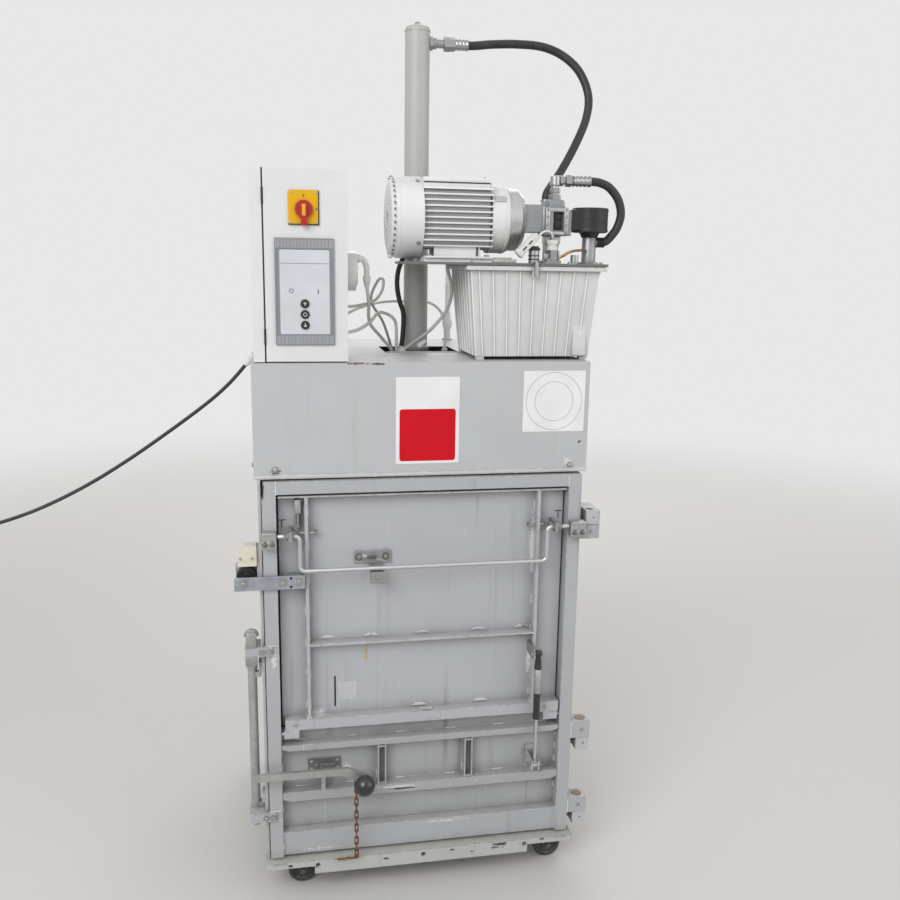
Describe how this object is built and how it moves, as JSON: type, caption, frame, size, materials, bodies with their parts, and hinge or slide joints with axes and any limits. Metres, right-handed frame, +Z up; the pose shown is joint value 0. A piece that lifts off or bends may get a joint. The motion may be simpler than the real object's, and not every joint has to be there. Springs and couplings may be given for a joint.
{
  "type": "recycling baler",
  "caption": "Small upright baler on castors with a hinged door, a feed flap, a press platen, a hydraulic power pack with hoses on top and a control cabinet.",
  "frame": {"origin": "on the floor, under the middle of the machine's outline", "axes": "+Z up; the front with the door faces -Y; +X is to the right of someone who faces the front"},
  "size_m": [1.6462, 0.7363, 2.051],
  "materials": {
    "body_paint": "light grey enamel, scuffed at edges",
    "zinc_plated": "dull zinc plating",
    "worn_steel": "bare steel, worn by hands",
    "polished_rod": "hard chrome with an oil film",
    "castor_rubber": "dark rubber",
    "cylinder_paint": "satin light grey enamel",
    "spring_paint": "black enamel with a bare middle",
    "black_plastic": "black moulded plastic",
    "rusty_chain": "rusty steel",
    "cream_plastic": "yellowed cream moulding",
    "tank_plastic": "white moulded plastic, slightly greyed",
    "cabinet_paint": "white powder coat",
    "switch_yellow": "yellow moulding",
    "switch_red": "red moulding",
    "keypad_plastic": "dark grey ribbed moulding",
    "motor_paint": "pale grey enamel over castings",
    "cast_aluminium": "cast and machined",
    "hose_rubber": "black rubber",
    "cable_grey": "grey and white sheaths"
  },
  "bodies": {
    "machine": {"base_frame": "body_paint", "chamber_floor": "body_paint", "left_wall": "body_paint", "right_wall": "body_paint", "back_wall": "body_paint", "body_brackets": "body_paint", "hinge_pins": "worn_steel", "housing_cover": "body_paint", "cross_beam": "body_paint", "cylinder": "cylinder_paint", "switch_cover": "cream_plastic", "cabinet_body": "cabinet_paint", "cable_entries": "cream_plastic", "oil_tank": "tank_plastic", "tank_lid": "zinc_plated", "motor_body": "motor_paint", "fan_cowl": "motor_paint", "drive_flange": "cast_aluminium", "pump_block": "cast_aluminium", "return_filter": "black_plastic", "steel_fittings": "zinc_plated", "hoses": "hose_rubber", "control_cables": "cable_grey", "power_cable": "hose_rubber", "power_plug": "black_plastic"},
    "ram": {"piston_rod": "polished_rod", "press_platen": "body_paint"},
    "roller": {"switch_roller": "black_plastic"},
    "door": {"door_frame": "body_paint", "lower_panel": "body_paint", "door_hinge_blocks": "body_paint", "flap_hinge_pins": "worn_steel", "door_brackets": "body_paint", "latch_plates": "zinc_plated"},
    "flap": {"flap_panel": "body_paint", "flap_bars": "body_paint", "flap_fittings": "zinc_plated", "safety_bar": "zinc_plated"},
    "grip": {"grip_bar": "worn_steel"},
    "lock": {"lock_lever": "zinc_plated", "lock_knob": "black_plastic"},
    "chain": {"lock_chain": "rusty_chain"},
    "gas_rod": {"gas_spring_rod": "zinc_plated"},
    "gas_cylinder": {"gas_spring_cylinder": "spring_paint"},
    "cabinet_front": {"cabinet_door": "cabinet_paint", "main_switch_plate": "switch_yellow", "keypad": "keypad_plastic"},
    "main_switch": {"main_switch_knob": "switch_red"},
    "up_button": {"button_up": "black_plastic"},
    "stop_button": {"button_stop": "black_plastic"},
    "down_button": {"button_down": "black_plastic"},
    "rotor": {"motor_rotor": "zinc_plated"},
    "castor_front_left": {"castor_fork_front_left": "zinc_plated"},
    "wheel_front_left": {"castor_wheel_front_left": "castor_rubber"},
    "castor_front_right": {"castor_fork_front_right": "zinc_plated"},
    "wheel_front_right": {"castor_wheel_front_right": "castor_rubber"},
    "castor_rear_left": {"castor_fork_rear_left": "zinc_plated"},
    "wheel_rear_left": {"castor_wheel_rear_left": "castor_rubber"},
    "castor_rear_right": {"castor_fork_rear_right": "zinc_plated"},
    "wheel_rear_right": {"castor_wheel_rear_right": "castor_rubber"}
  },
  "joints": [
    {"name": "swivel_front_left", "type": "hinge", "parent": "machine", "child": "castor_front_left", "pos_m": [-0.342, -0.238, 0.08], "axis": [0, 0, 1], "continuous": true},
    {"name": "roll_front_left", "type": "hinge", "parent": "castor_front_left", "child": "wheel_front_left", "pos_m": [-0.322, -0.238, 0.035], "axis": [0, 1, 0], "continuous": true},
    {"name": "swivel_front_right", "type": "hinge", "parent": "machine", "child": "castor_front_right", "pos_m": [0.276, -0.238, 0.08], "axis": [0, 0, 1], "continuous": true},
    {"name": "roll_front_right", "type": "hinge", "parent": "castor_front_right", "child": "wheel_front_right", "pos_m": [0.296, -0.238, 0.035], "axis": [0, 1, 0], "continuous": true},
    {"name": "swivel_rear_left", "type": "hinge", "parent": "machine", "child": "castor_rear_left", "pos_m": [-0.342, 0.316, 0.08], "axis": [0, 0, 1], "continuous": true},
    {"name": "roll_rear_left", "type": "hinge", "parent": "castor_rear_left", "child": "wheel_rear_left", "pos_m": [-0.322, 0.316, 0.035], "axis": [0, 1, 0], "continuous": true},
    {"name": "swivel_rear_right", "type": "hinge", "parent": "machine", "child": "castor_rear_right", "pos_m": [0.276, 0.316, 0.08], "axis": [0, 0, 1], "continuous": true},
    {"name": "roll_rear_right", "type": "hinge", "parent": "castor_rear_right", "child": "wheel_rear_right", "pos_m": [0.296, 0.316, 0.035], "axis": [0, 1, 0], "continuous": true},
    {"name": "press_stroke", "type": "slide", "parent": "machine", "child": "ram", "axis": [0, 0, -1], "range_m": [0, 0.62]},
    {"name": "switch_roller_turn", "type": "hinge", "parent": "machine", "child": "roller", "pos_m": [-0.435, -0.257, 0.797], "axis": [0, 1, 0], "continuous": true},
    {"name": "door_hinge", "type": "hinge", "parent": "machine", "child": "door", "pos_m": [0.363, -0.264, 0.5], "axis": [0, 0, 1], "range_deg": [0, 110]},
    {"name": "flap_hinge", "type": "hinge", "parent": "door", "child": "flap", "pos_m": [-0.033, -0.274, 0.412], "axis": [1, 0, 0], "range_deg": [0, 70]},
    {"name": "grip_pivot", "type": "hinge", "parent": "flap", "child": "grip", "pos_m": [-0.033, -0.298, 0.897], "axis": [1, 0, 0], "range_deg": [-120, 0]},
    {"name": "lock_turn", "type": "hinge", "parent": "door", "child": "lock", "pos_m": [-0.429, -0.252, 0.4], "axis": [0, 0, 1], "range_deg": [-100, 0]},
    {"name": "chain_swing", "type": "hinge", "parent": "lock", "child": "chain", "pos_m": [-0.196, -0.312, 0.285], "axis": [0, 1, 0], "range_deg": [-45, 45]},
    {"name": "gas_spring_tilt", "type": "hinge", "parent": "door", "child": "gas_rod", "pos_m": [0.238, -0.307, 0.3], "axis": [1, 0, 0], "range_deg": [0, 47]},
    {"name": "gas_spring_stroke", "type": "slide", "parent": "gas_rod", "child": "gas_cylinder", "axis": [0, 0, -1], "range_m": [0, 0.088]},
    {"name": "cabinet_hinge", "type": "hinge", "parent": "machine", "child": "cabinet_front", "pos_m": [-0.3805, -0.276, 1.48], "axis": [0, 0, 1], "range_deg": [-110, 0]},
    {"name": "main_switch_turn", "type": "hinge", "parent": "cabinet_front", "child": "main_switch", "pos_m": [-0.296, -0.286, 1.598], "axis": [0, 1, 0], "range_deg": [-90, 0]},
    {"name": "up_press", "type": "slide", "parent": "cabinet_front", "child": "up_button", "axis": [0, 1, 0], "range_m": [0, 0.0025], "stiffness_N_per_m": 400},
    {"name": "stop_press", "type": "slide", "parent": "cabinet_front", "child": "stop_button", "axis": [0, 1, 0], "range_m": [0, 0.0025], "stiffness_N_per_m": 400},
    {"name": "down_press", "type": "slide", "parent": "cabinet_front", "child": "down_button", "axis": [0, 1, 0], "range_m": [0, 0.0025], "stiffness_N_per_m": 400},
    {"name": "rotor_turn", "type": "hinge", "parent": "machine", "child": "rotor", "pos_m": [-0.033, -0.122, 1.5932], "axis": [1, 0, 0], "continuous": true}
  ],
  "couplings": [
    {"joint": "gas_spring_tilt", "follows": "flap_hinge", "ratio": 0.65},
    {"joint": "gas_spring_stroke", "follows": "flap_hinge", "m_per_rad": 0.0708}
  ]
}
